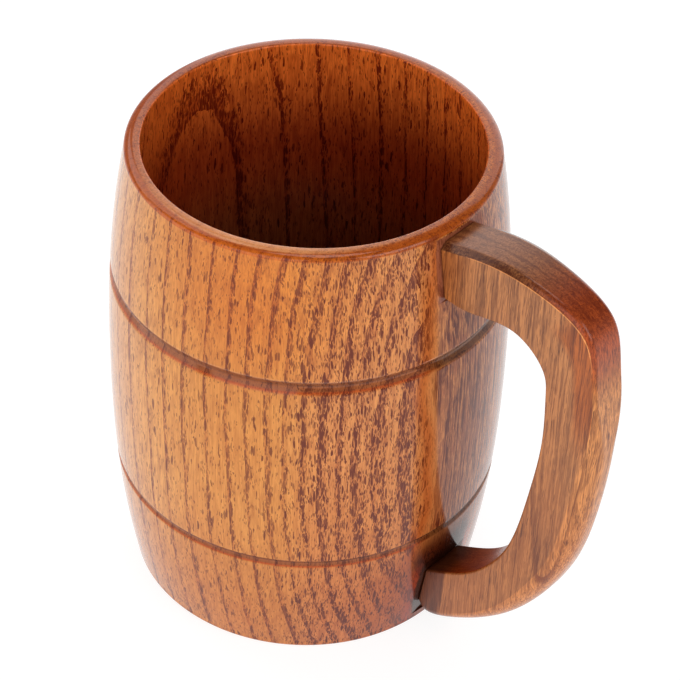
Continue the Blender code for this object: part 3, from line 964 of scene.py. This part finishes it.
# What a look holds, in millimetres where it is a length:
# azimuth, tilt, curl, sway and ripple set the course of the growth layers, layer their thickness,
# narrowing how much thinner the outer ones are, ring that of the early wood, ragged and uneven its edge.
# flame: middle, tip, spread, rise and slant. knot: its place. end_rings, end: layers, stain on end grain.
# vessels: size, stretch along the grain, bore, crowd in late and in early wood, and ink, for each kind.
# The other shares say how strongly a pattern shows, and the last row is the surface and its lacquer.
BODY_LOOK = dict(
    azimuth=-2.0, tilt=0.032, curl=0.0010, sway=5.0, ripple=1.2, layer=6.667, narrowing=5.37, ring=0.75,
    ragged=2.6, uneven=0.4, shift=0.185, end_rings=0.35, flame=None, knot=None, chain=0.50, crowding=1.2,
    vessels=((0.46, 6.0, 0.64, 0.08, 1.7, 0.95), (0.27, 5.0, 0.53, 0.28, 1.5, 0.80)),
    late=linear(238, 164, 84), early=linear(204, 120, 60), dark=linear(150, 72, 34),
    warm=linear(212, 122, 42), pore=linear(110, 44, 18), drunk=linear(140, 62, 22),
    streak=0.32, hair=0.50, hair_run=0.16, mottle=0.35, lines=1.0, rays=0.0, cloud=0.40, end=0.15,
    rough=0.50, gloss=0.05, coat=1.0, coat_rough=0.12, bump=0.35,
)
HANDLE_LOOK = dict(
    azimuth=0.0, tilt=0.0, curl=0.0, sway=0.06, ripple=0.04, layer=2.4, narrowing=0.0, ring=0.085,
    ragged=0.10, uneven=0.0, shift=0.106, end_rings=0.3, flame=(77.0, 37.5, 6.0, 0.0216, 0.048),
    knot=(86.6, -0.5, 85.1), chain=0.25, crowding=0.0,
    vessels=((0.22, 60.0, 0.46, 0.30, 0.9, 0.80), (0.18, 20.0, 0.44, 0.30, 0.8, 0.60)),
    late=linear(210, 139, 81), early=linear(100, 48, 28), dark=linear(100, 50, 28),
    warm=linear(180, 92, 34), pore=linear(78, 38, 26), drunk=linear(108, 48, 20),
    streak=0.64, hair=0.78, hair_run=0.05, mottle=0.25, lines=0.0, rays=0.65, cloud=0.35, end=0.35,
    rough=0.45, gloss=0.05, coat=1.0, coat_rough=0.25, bump=0.28,
)
PEG_LOOK = dict(
    azimuth=70.0, tilt=0.05, curl=0.0, sway=2.0, ripple=0.4, layer=1.4, narrowing=0.0, ring=0.4,
    ragged=0.5, uneven=0.8, shift=0.0, end_rings=1.0, flame=None, knot=None, chain=0.5, crowding=0.0,
    vessels=((0.5, 14.0, 0.3, 0.15, 0.4, 0.6),),
    late=linear(208, 168, 118), early=linear(190, 146, 96), dark=linear(160, 116, 72),
    warm=linear(202, 156, 104), pore=linear(120, 82, 50), drunk=linear(190, 140, 90),
    streak=0.35, hair=0.35, hair_run=0.16, mottle=0.2, lines=0.0, rays=0.0, cloud=0.3, end=0.4,
    rough=0.55, gloss=0.3, coat=0.0, coat_rough=0.3, bump=0.3,
)

body = build_body(wood("body_lacquer", BODY_LOOK))
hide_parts("mug_body")
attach(body, "root")
handle = build_handle(wood("handle_lacquer", HANDLE_LOOK))
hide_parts("handle")
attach(handle, "root")
peg_material = wood("peg_bare", PEG_LOOK)
for name in ("dowel_upper", "dowel_lower"):
    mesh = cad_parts[name].data
    mesh.materials.clear()
    mesh.materials.append(peg_material)

# Studio: each light has its azimuth and elevation in degrees, its size in metres and its power in watts
FLOOR_EDGE = 4.0
FLOOR_DROP = 0.0002
FLOOR_COLOUR = (0.25, 0.25, 0.25, 1.0)
FLOOR_ROUGHNESS = 0.8
FLOOR_GLOW = 0.86
WHITE = (1.0, 1.0, 1.0, 1.0)
LIGHTS = {
    "left_low": (-128.0, 12.0, 0.8, 2.4),
    "left_high": (178.0, 48.0, 0.7, 2.8),
    "front": (-76.0, 24.0, 0.8, 2.8),
    "right": (0.0, 34.0, 0.6, 3.4),
    "back": (116.0, 22.0, 1.0, 4.6),
    "top": (90.0, 86.0, 0.35, 1.2),
}
LIGHT_DISTANCE = 1.0
SKY_RISE = (0.05, 0.6)
SKY_STRENGTH = (0.45, 0.05)

# Camera fitted to the photograph, with its picture size and focal length in pixels
PHOTO_PIXELS = 680.0
FOCAL_PIXELS = 2400.0
SENSOR = 36.0
CLIP_RANGE = (0.01, 50.0)
CAMERA_PLACE = (0.28693, -0.33007, 0.43162)
CAMERA_RIGHT = (0.74880, 0.66212, 0.03030)
CAMERA_UP = (-0.44519, 0.46855, 0.76306)


def add_floor():
    mesh = bpy.data.meshes.new("floor")
    corners = [(-1.0, -1.0), (1.0, -1.0), (1.0, 1.0), (-1.0, 1.0)]
    mesh.from_pydata([(FLOOR_EDGE * x, FLOOR_EDGE * y, 0.0) for x, y in corners], [], [(0, 1, 2, 3)])
    floor = bpy.data.objects.new("floor", mesh)
    floor.location.z = -FLOOR_DROP
    bpy.context.scene.collection.objects.link(floor)
    n = Nodes("floor_white")
    n.shader.inputs["Base Color"].default_value = FLOOR_COLOUR
    n.shader.inputs["Roughness"].default_value = FLOOR_ROUGHNESS
    n.shader.inputs["Emission Color"].default_value = WHITE
    n.shader.inputs["Emission Strength"].default_value = FLOOR_GLOW
    mesh.materials.append(n.material)


def add_light(name, azimuth, elevation, size, power):
    """Soft square light that looks at the middle of the mug."""
    light = bpy.data.lights.new(name, "AREA")
    light.shape = "SQUARE"
    light.size = size
    light.energy = power
    item = bpy.data.objects.new(name, light)
    bpy.context.scene.collection.objects.link(item)
    turn, rise = math.radians(azimuth), math.radians(elevation)
    out = Vector((math.cos(turn) * math.cos(rise), math.sin(turn) * math.cos(rise), math.sin(rise)))
    item.location = Vector((0.0, 0.0, MUG_HEIGHT / 2.0)) + out * LIGHT_DISTANCE
    item.rotation_mode = "QUATERNION"
    item.rotation_quaternion = (-out).to_track_quat("-Z", "Y")
    item.visible_camera = False


def add_world():
    """White studio that is brighter round the sides than overhead."""
    world = bpy.data.worlds.new("studio")
    world.use_nodes = True
    tree = world.node_tree
    sky = tree.nodes["Background"]
    up = tree.nodes.new("ShaderNodeSeparateXYZ")
    tree.links.new(tree.nodes.new("ShaderNodeTexCoord").outputs["Generated"], up.inputs[0])
    shade = tree.nodes.new("ShaderNodeMapRange")
    tree.links.new(up.outputs[2], shade.inputs["Value"])
    limits = ("From Min", "From Max", "To Min", "To Max")
    for limit, value in zip(limits, SKY_RISE + SKY_STRENGTH):
        shade.inputs[limit].default_value = value
    tree.links.new(shade.outputs[0], sky.inputs["Strength"])
    sky.inputs["Color"].default_value = WHITE
    bpy.context.scene.world = world


def add_camera():
    data = bpy.data.cameras.new("camera")
    data.sensor_width = SENSOR
    data.lens = SENSOR * FOCAL_PIXELS / PHOTO_PIXELS
    data.clip_start, data.clip_end = CLIP_RANGE
    camera = bpy.data.objects.new("camera", data)
    bpy.context.scene.collection.objects.link(camera)
    right = Vector(CAMERA_RIGHT).normalized()
    up = Vector(CAMERA_UP)
    up = (up - right * up.dot(right)).normalized()
    back = right.cross(up)
    turn = Matrix((right, up, back)).transposed().to_4x4()
    camera.matrix_world = Matrix.Translation(CAMERA_PLACE) @ turn
    bpy.context.scene.camera = camera


add_floor()
for name, light in LIGHTS.items():
    add_light(name, *light)
add_world()
add_camera()
view = bpy.context.scene.view_settings
view.view_transform = "Standard"
view.look = "None"
